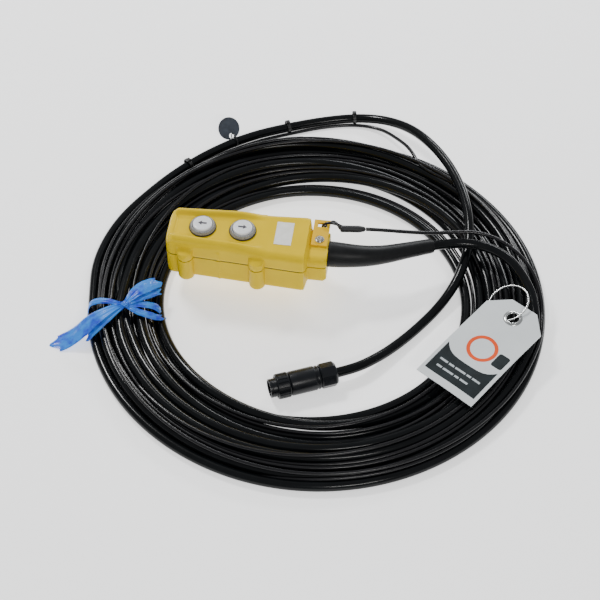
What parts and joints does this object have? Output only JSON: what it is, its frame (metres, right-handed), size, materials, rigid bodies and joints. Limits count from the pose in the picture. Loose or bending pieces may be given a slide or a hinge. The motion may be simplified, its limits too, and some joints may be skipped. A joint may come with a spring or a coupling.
{
  "type": "pendant control station",
  "caption": "Hand-held hoist pendant with up and down push buttons, a coiled control cable ending in a round plug, a suspension wire, and tags.",
  "frame": {"origin": "centre of the housing's box, cable and tags left out", "axes": "+X along the housing towards the cable entry, +Z out of the button face, floor of the coil at z = -0.050"},
  "size_m": [0.479, 0.4939, 0.0775],
  "materials": {
    "housing": "moulded yellow plastic, slightly glossy, fine texture",
    "gasket_rubber": "matte black rubber",
    "steel_screws": "zinc-plated",
    "black_moulding": "moulded black plastic",
    "brass_parts": "bright",
    "anchor_plate": "yellow paint on steel",
    "coated_wire": "black vinyl coat on steel wire rope",
    "ferrule_black": "black heat-shrink over a pressed ferrule",
    "sleeve_rubber": "matte black rubber",
    "cable_jacket": "glossy black vinyl jacket",
    "conductors": "coloured core insulation",
    "label_white": "blank white label",
    "polished_steel": "nickel-plated steel",
    "plug_plastic": "moulded black plastic with grip flutes",
    "plug_insert": "dark insert",
    "tag_card": null,
    "disc_black": "black plastic disc",
    "tie_nylon": "black nylon",
    "blue_tape": "thin blue plastic tape",
    "button_white": "white cap with a dark arrow",
    "bezel_grey": "grey knurled bezel",
    "spring_steel": "spring wire"
  },
  "bodies": {
    "root": {"anchor_screw": "steel_screws", "anchor_washer": "steel_screws", "cable_bush": "sleeve_rubber", "cable_clip": "black_moulding", "cable_sleeve": "sleeve_rubber", "cable_ties": "tie_nylon", "case_gasket": "gasket_rubber", "clip_rest": "housing", "clip_screws": "steel_screws", "conductors": "conductors", "contact_sockets": "brass_parts", "cord_coil": "cable_jacket", "cord_lead": "cable_jacket", "cord_tail": "cable_jacket", "cover_screws": "steel_screws", "disc_loop": "black_moulding", "down_bezel_nut": "steel_screws", "down_bezel_ring": "bezel_grey", "down_boot": "gasket_rubber", "down_fixed_contacts": "brass_parts", "down_return_spring": "spring_steel", "end_ferrule": "polished_steel", "front_cover": "housing", "gland_nut": "plug_plastic", "gland_seal": "gasket_rubber", "inner_cable": "cable_jacket", "label_plate": "label_white", "plug_cable_end": "cable_jacket", "plug_insert": "plug_insert", "plug_shell": "plug_plastic", "rear_case": "housing", "ribbon": "blue_tape", "switch_block": "black_moulding", "terminal_screws": "brass_parts", "up_bezel_nut": "steel_screws", "up_bezel_ring": "bezel_grey", "up_boot": "gasket_rubber", "up_fixed_contacts": "brass_parts", "up_return_spring": "spring_steel", "wire_anchor": "anchor_plate", "wire_end": "coated_wire", "wire_eye": "polished_steel", "wire_ferrule": "ferrule_black", "wire_lead": "coated_wire", "wire_loop": "coated_wire", "wire_tail": "coated_wire"},
    "down_button": {"down_button_cap": "button_white", "down_plunger": "plug_insert", "down_contact_bridge": "brass_parts"},
    "up_button": {"up_button_cap": "button_white", "up_plunger": "plug_insert", "up_contact_bridge": "brass_parts"},
    "coupling": {"coupling_nut": "plug_plastic"},
    "ring": {"tag_ring": "polished_steel"},
    "card": {"instruction_tag": "tag_card", "tag_eyelet": "polished_steel"},
    "disc": {"disc_tag": "disc_black"}
  },
  "joints": [
    {"name": "down_button_press", "type": "slide", "parent": "root", "child": "down_button", "axis": [0, 0, -1], "range_m": [0, 0.004], "stiffness_N_per_m": 800, "deforming": ["down_return_spring", "down_boot"]},
    {"name": "up_button_press", "type": "slide", "parent": "root", "child": "up_button", "axis": [0, 0, -1], "range_m": [0, 0.004], "stiffness_N_per_m": 800, "deforming": ["up_return_spring", "up_boot"]},
    {"name": "coupling_nut_turn", "type": "hinge", "parent": "root", "child": "coupling", "pos_m": [0.05351, -0.13962, -0.0375], "axis": [-0.9114, -0.4116, 0], "continuous": true},
    {"name": "tag_ring_swing", "type": "hinge", "parent": "root", "child": "ring", "pos_m": [0.2555, -0.0031, -0.0197], "axis": [-1, 0, 0], "range_deg": [0, 50]},
    {"name": "instruction_tag_swing", "type": "hinge", "parent": "ring", "child": "card", "pos_m": [0.2665, -0.0427, -0.0195], "axis": [-0.9635, -0.2676, 0], "range_deg": [0, 15]},
    {"name": "disc_tag_swing", "type": "hinge", "parent": "root", "child": "disc", "pos_m": [-0.05065, 0.19519, -0.0423], "axis": [0.7849, 0.6196, 0], "range_deg": [-55, 0]}
  ]
}
